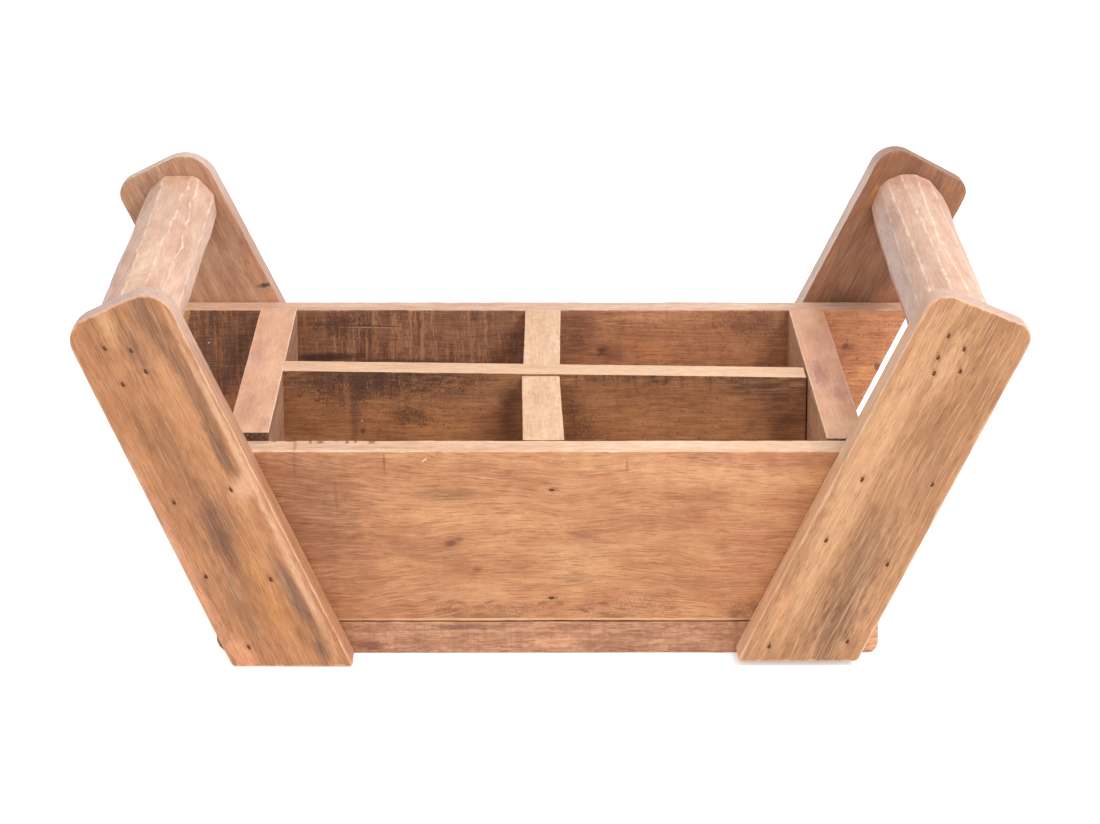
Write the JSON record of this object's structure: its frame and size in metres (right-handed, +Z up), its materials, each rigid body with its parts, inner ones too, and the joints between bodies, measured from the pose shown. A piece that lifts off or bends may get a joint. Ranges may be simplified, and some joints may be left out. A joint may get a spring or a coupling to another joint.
{
  "type": "divided wooden carrying box",
  "caption": "Open nailed wooden box with crossed partitions, held between slanting legs that carry a hewn round handle across each end.",
  "frame": {"origin": "bottom centre of the bounding box, on the surface that the box stands on", "axes": "+X along the box from one handle to the other, +Y from the front board to the back board, +Z up"},
  "size_m": [0.4749, 0.36, 0.1905],
  "materials": {
    "leg_wood": "worn satin hardwood, brown with darker streaks",
    "board_wood": "sanded satin hardwood, warm brown",
    "end_wood": "planed pinkish brown hardwood",
    "partition_wood": "rough-sawn brown boards with pale tops",
    "base_wood": "mottled reddish brown, rough",
    "handle_wood": "hand-hewn, pale and rubbed smooth",
    "nail_steel": "dark oxidised steel"
  },
  "bodies": {
    "root": {"base_plank_front": "base_wood", "base_plank_middle": "base_wood", "base_plank_back": "base_wood", "front_board": "board_wood", "back_board": "board_wood", "left_end_board": "end_wood", "right_end_board": "end_wood", "long_partition": "partition_wood", "cross_partition_front": "partition_wood", "cross_partition_back": "partition_wood", "leg_front_left": "leg_wood", "leg_front_right": "leg_wood", "leg_back_left": "leg_wood", "leg_back_right": "leg_wood", "handle_left": "handle_wood", "handle_right": "handle_wood", "nail_front_left_handle_1": "nail_steel", "nail_front_left_handle_2": "nail_steel", "nail_front_left_handle_3": "nail_steel", "nail_front_left_handle_4": "nail_steel", "nail_front_left_board_1": "nail_steel", "nail_front_left_board_2": "nail_steel", "nail_front_left_board_3": "nail_steel", "nail_front_left_board_4": "nail_steel", "nail_front_left_foot_1": "nail_steel", "nail_front_right_handle_1": "nail_steel", "nail_front_right_handle_2": "nail_steel", "nail_front_right_handle_3": "nail_steel", "nail_front_right_handle_4": "nail_steel", "nail_front_right_handle_5": "nail_steel", "nail_front_right_board_1": "nail_steel", "nail_front_right_board_2": "nail_steel", "nail_front_right_board_3": "nail_steel", "nail_front_right_board_4": "nail_steel", "nail_front_right_foot_1": "nail_steel", "nail_front_right_foot_2": "nail_steel", "nail_back_left_handle_1": "nail_steel", "nail_back_left_handle_2": "nail_steel", "nail_back_left_handle_3": "nail_steel", "nail_back_left_board_1": "nail_steel", "nail_back_left_board_2": "nail_steel", "nail_back_left_board_3": "nail_steel", "nail_back_left_foot_1": "nail_steel", "nail_back_right_handle_1": "nail_steel", "nail_back_right_handle_2": "nail_steel", "nail_back_right_handle_3": "nail_steel", "nail_back_right_board_1": "nail_steel", "nail_back_right_board_2": "nail_steel", "nail_back_right_board_3": "nail_steel", "nail_back_right_foot_1": "nail_steel", "nail_cross_front_1": "nail_steel", "nail_cross_front_2": "nail_steel", "nail_cross_back_1": "nail_steel", "nail_cross_back_2": "nail_steel", "nail_base_left_front": "nail_steel", "nail_base_left_middle": "nail_steel", "nail_base_left_back": "nail_steel", "nail_base_right_front": "nail_steel", "nail_base_right_middle": "nail_steel", "nail_base_right_back": "nail_steel"}
  },
  "joints": []
}
